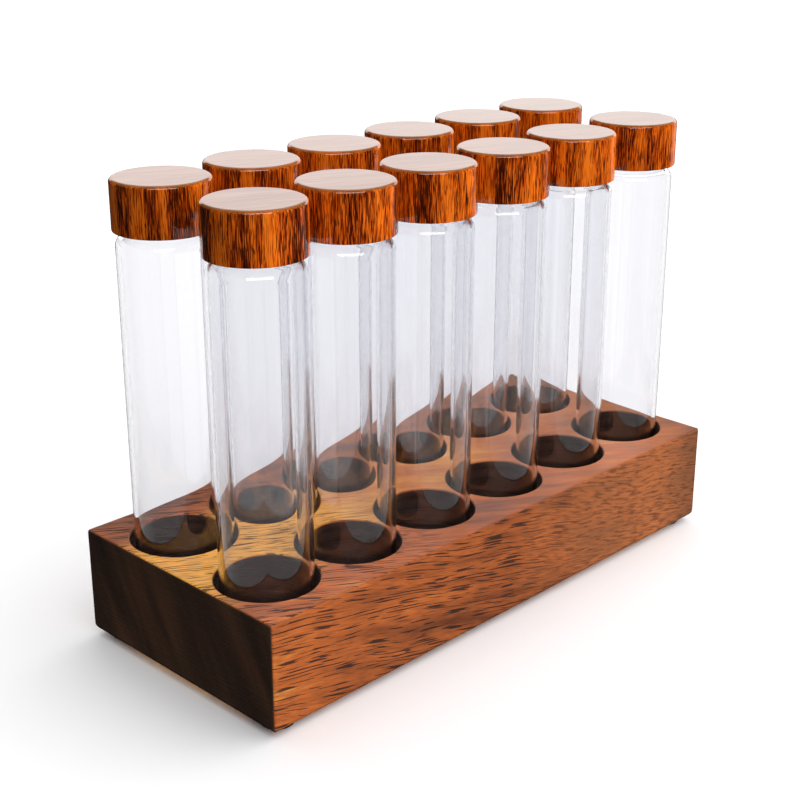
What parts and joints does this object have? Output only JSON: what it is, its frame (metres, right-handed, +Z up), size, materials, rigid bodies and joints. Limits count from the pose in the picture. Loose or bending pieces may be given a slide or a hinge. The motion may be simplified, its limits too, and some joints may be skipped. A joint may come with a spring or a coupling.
{
  "type": "test tube rack",
  "caption": "Wooden block rack holding straight flat-bottomed glass test tubes in blind holes, each closed by a wood-look screw cap with a sealing disc.",
  "frame": {"origin": "centre of the rack's footprint, on the surface that its feet stand on", "axes": "+Z up along the tubes, +X along the rack's long side, +Y from the front row of tubes to the back row"},
  "size_m": [0.22, 0.0936, 0.1593],
  "materials": {
    "block_wood": "oiled acacia with dark pores, satin",
    "foot_rubber": "moulded, matt",
    "clear_glass": "clear, polished",
    "cap_wood_grain": "wood-grain film under gloss lacquer",
    "insert_plastic": "moulded, natural white",
    "seal_foam": "closed-cell foam, soft matt"
  },
  "bodies": {
    "rack": {"rack_block": "block_wood", "foot_front_left": "foot_rubber", "foot_front_right": "foot_rubber", "foot_back_left": "foot_rubber", "foot_back_right": "foot_rubber"},
    "tube_01": {"glass_tube_01": "clear_glass"},
    "seal_01": {"cap_seal_01": "seal_foam"},
    "cap_01": {"cap_shell_01": "cap_wood_grain", "cap_insert_01": "insert_plastic"},
    "tube_02": {"glass_tube_02": "clear_glass"},
    "seal_02": {"cap_seal_02": "seal_foam"},
    "cap_02": {"cap_shell_02": "cap_wood_grain", "cap_insert_02": "insert_plastic"},
    "tube_03": {"glass_tube_03": "clear_glass"},
    "seal_03": {"cap_seal_03": "seal_foam"},
    "cap_03": {"cap_shell_03": "cap_wood_grain", "cap_insert_03": "insert_plastic"},
    "tube_04": {"glass_tube_04": "clear_glass"},
    "seal_04": {"cap_seal_04": "seal_foam"},
    "cap_04": {"cap_shell_04": "cap_wood_grain", "cap_insert_04": "insert_plastic"},
    "tube_05": {"glass_tube_05": "clear_glass"},
    "seal_05": {"cap_seal_05": "seal_foam"},
    "cap_05": {"cap_shell_05": "cap_wood_grain", "cap_insert_05": "insert_plastic"},
    "tube_06": {"glass_tube_06": "clear_glass"},
    "seal_06": {"cap_seal_06": "seal_foam"},
    "cap_06": {"cap_shell_06": "cap_wood_grain", "cap_insert_06": "insert_plastic"},
    "tube_07": {"glass_tube_07": "clear_glass"},
    "seal_07": {"cap_seal_07": "seal_foam"},
    "cap_07": {"cap_shell_07": "cap_wood_grain", "cap_insert_07": "insert_plastic"},
    "tube_08": {"glass_tube_08": "clear_glass"},
    "seal_08": {"cap_seal_08": "seal_foam"},
    "cap_08": {"cap_shell_08": "cap_wood_grain", "cap_insert_08": "insert_plastic"},
    "tube_09": {"glass_tube_09": "clear_glass"},
    "seal_09": {"cap_seal_09": "seal_foam"},
    "cap_09": {"cap_shell_09": "cap_wood_grain", "cap_insert_09": "insert_plastic"},
    "tube_10": {"glass_tube_10": "clear_glass"},
    "seal_10": {"cap_seal_10": "seal_foam"},
    "cap_10": {"cap_shell_10": "cap_wood_grain", "cap_insert_10": "insert_plastic"},
    "tube_11": {"glass_tube_11": "clear_glass"},
    "seal_11": {"cap_seal_11": "seal_foam"},
    "cap_11": {"cap_shell_11": "cap_wood_grain", "cap_insert_11": "insert_plastic"},
    "tube_12": {"glass_tube_12": "clear_glass"},
    "seal_12": {"cap_seal_12": "seal_foam"},
    "cap_12": {"cap_shell_12": "cap_wood_grain", "cap_insert_12": "insert_plastic"}
  },
  "joints": [
    {"name": "tube_lift_01", "type": "slide", "parent": "rack", "child": "tube_01", "axis": [0, 0, 1], "range_m": [0, 0.04]},
    {"name": "cap_rise_01", "type": "slide", "parent": "tube_01", "child": "seal_01", "axis": [0, 0, 1], "range_m": [0, 0.016]},
    {"name": "cap_turn_01", "type": "hinge", "parent": "seal_01", "child": "cap_01", "pos_m": [-0.09, -0.02175, 0.143], "axis": [0, 0, 1], "range_deg": [0, 1440]},
    {"name": "tube_lift_02", "type": "slide", "parent": "rack", "child": "tube_02", "axis": [0, 0, 1], "range_m": [0, 0.04]},
    {"name": "cap_rise_02", "type": "slide", "parent": "tube_02", "child": "seal_02", "axis": [0, 0, 1], "range_m": [0, 0.016]},
    {"name": "cap_turn_02", "type": "hinge", "parent": "seal_02", "child": "cap_02", "pos_m": [-0.054, -0.02175, 0.143], "axis": [0, 0, 1], "range_deg": [0, 1440]},
    {"name": "tube_lift_03", "type": "slide", "parent": "rack", "child": "tube_03", "axis": [0, 0, 1], "range_m": [0, 0.04]},
    {"name": "cap_rise_03", "type": "slide", "parent": "tube_03", "child": "seal_03", "axis": [0, 0, 1], "range_m": [0, 0.016]},
    {"name": "cap_turn_03", "type": "hinge", "parent": "seal_03", "child": "cap_03", "pos_m": [-0.018, -0.02175, 0.143], "axis": [0, 0, 1], "range_deg": [0, 1440]},
    {"name": "tube_lift_04", "type": "slide", "parent": "rack", "child": "tube_04", "axis": [0, 0, 1], "range_m": [0, 0.04]},
    {"name": "cap_rise_04", "type": "slide", "parent": "tube_04", "child": "seal_04", "axis": [0, 0, 1], "range_m": [0, 0.016]},
    {"name": "cap_turn_04", "type": "hinge", "parent": "seal_04", "child": "cap_04", "pos_m": [0.018, -0.02175, 0.143], "axis": [0, 0, 1], "range_deg": [0, 1440]},
    {"name": "tube_lift_05", "type": "slide", "parent": "rack", "child": "tube_05", "axis": [0, 0, 1], "range_m": [0, 0.04]},
    {"name": "cap_rise_05", "type": "slide", "parent": "tube_05", "child": "seal_05", "axis": [0, 0, 1], "range_m": [0, 0.016]},
    {"name": "cap_turn_05", "type": "hinge", "parent": "seal_05", "child": "cap_05", "pos_m": [0.054, -0.02175, 0.143], "axis": [0, 0, 1], "range_deg": [0, 1440]},
    {"name": "tube_lift_06", "type": "slide", "parent": "rack", "child": "tube_06", "axis": [0, 0, 1], "range_m": [0, 0.04]},
    {"name": "cap_rise_06", "type": "slide", "parent": "tube_06", "child": "seal_06", "axis": [0, 0, 1], "range_m": [0, 0.016]},
    {"name": "cap_turn_06", "type": "hinge", "parent": "seal_06", "child": "cap_06", "pos_m": [0.09, -0.02175, 0.143], "axis": [0, 0, 1], "range_deg": [0, 1440]},
    {"name": "tube_lift_07", "type": "slide", "parent": "rack", "child": "tube_07", "axis": [0, 0, 1], "range_m": [0, 0.04]},
    {"name": "cap_rise_07", "type": "slide", "parent": "tube_07", "child": "seal_07", "axis": [0, 0, 1], "range_m": [0, 0.016]},
    {"name": "cap_turn_07", "type": "hinge", "parent": "seal_07", "child": "cap_07", "pos_m": [-0.09, 0.02175, 0.143], "axis": [0, 0, 1], "range_deg": [0, 1440]},
    {"name": "tube_lift_08", "type": "slide", "parent": "rack", "child": "tube_08", "axis": [0, 0, 1], "range_m": [0, 0.04]},
    {"name": "cap_rise_08", "type": "slide", "parent": "tube_08", "child": "seal_08", "axis": [0, 0, 1], "range_m": [0, 0.016]},
    {"name": "cap_turn_08", "type": "hinge", "parent": "seal_08", "child": "cap_08", "pos_m": [-0.054, 0.02175, 0.143], "axis": [0, 0, 1], "range_deg": [0, 1440]},
    {"name": "tube_lift_09", "type": "slide", "parent": "rack", "child": "tube_09", "axis": [0, 0, 1], "range_m": [0, 0.04]},
    {"name": "cap_rise_09", "type": "slide", "parent": "tube_09", "child": "seal_09", "axis": [0, 0, 1], "range_m": [0, 0.016]},
    {"name": "cap_turn_09", "type": "hinge", "parent": "seal_09", "child": "cap_09", "pos_m": [-0.018, 0.02175, 0.143], "axis": [0, 0, 1], "range_deg": [0, 1440]},
    {"name": "tube_lift_10", "type": "slide", "parent": "rack", "child": "tube_10", "axis": [0, 0, 1], "range_m": [0, 0.04]},
    {"name": "cap_rise_10", "type": "slide", "parent": "tube_10", "child": "seal_10", "axis": [0, 0, 1], "range_m": [0, 0.016]},
    {"name": "cap_turn_10", "type": "hinge", "parent": "seal_10", "child": "cap_10", "pos_m": [0.018, 0.02175, 0.143], "axis": [0, 0, 1], "range_deg": [0, 1440]},
    {"name": "tube_lift_11", "type": "slide", "parent": "rack", "child": "tube_11", "axis": [0, 0, 1], "range_m": [0, 0.04]},
    {"name": "cap_rise_11", "type": "slide", "parent": "tube_11", "child": "seal_11", "axis": [0, 0, 1], "range_m": [0, 0.016]},
    {"name": "cap_turn_11", "type": "hinge", "parent": "seal_11", "child": "cap_11", "pos_m": [0.054, 0.02175, 0.143], "axis": [0, 0, 1], "range_deg": [0, 1440]},
    {"name": "tube_lift_12", "type": "slide", "parent": "rack", "child": "tube_12", "axis": [0, 0, 1], "range_m": [0, 0.04]},
    {"name": "cap_rise_12", "type": "slide", "parent": "tube_12", "child": "seal_12", "axis": [0, 0, 1], "range_m": [0, 0.016]},
    {"name": "cap_turn_12", "type": "hinge", "parent": "seal_12", "child": "cap_12", "pos_m": [0.09, 0.02175, 0.143], "axis": [0, 0, 1], "range_deg": [0, 1440]}
  ],
  "couplings": [
    {"joint": "cap_rise_01", "follows": "cap_turn_01", "m_per_rad": 0.00063662},
    {"joint": "cap_rise_02", "follows": "cap_turn_02", "m_per_rad": 0.00063662},
    {"joint": "cap_rise_03", "follows": "cap_turn_03", "m_per_rad": 0.00063662},
    {"joint": "cap_rise_04", "follows": "cap_turn_04", "m_per_rad": 0.00063662},
    {"joint": "cap_rise_05", "follows": "cap_turn_05", "m_per_rad": 0.00063662},
    {"joint": "cap_rise_06", "follows": "cap_turn_06", "m_per_rad": 0.00063662},
    {"joint": "cap_rise_07", "follows": "cap_turn_07", "m_per_rad": 0.00063662},
    {"joint": "cap_rise_08", "follows": "cap_turn_08", "m_per_rad": 0.00063662},
    {"joint": "cap_rise_09", "follows": "cap_turn_09", "m_per_rad": 0.00063662},
    {"joint": "cap_rise_10", "follows": "cap_turn_10", "m_per_rad": 0.00063662},
    {"joint": "cap_rise_11", "follows": "cap_turn_11", "m_per_rad": 0.00063662},
    {"joint": "cap_rise_12", "follows": "cap_turn_12", "m_per_rad": 0.00063662}
  ]
}
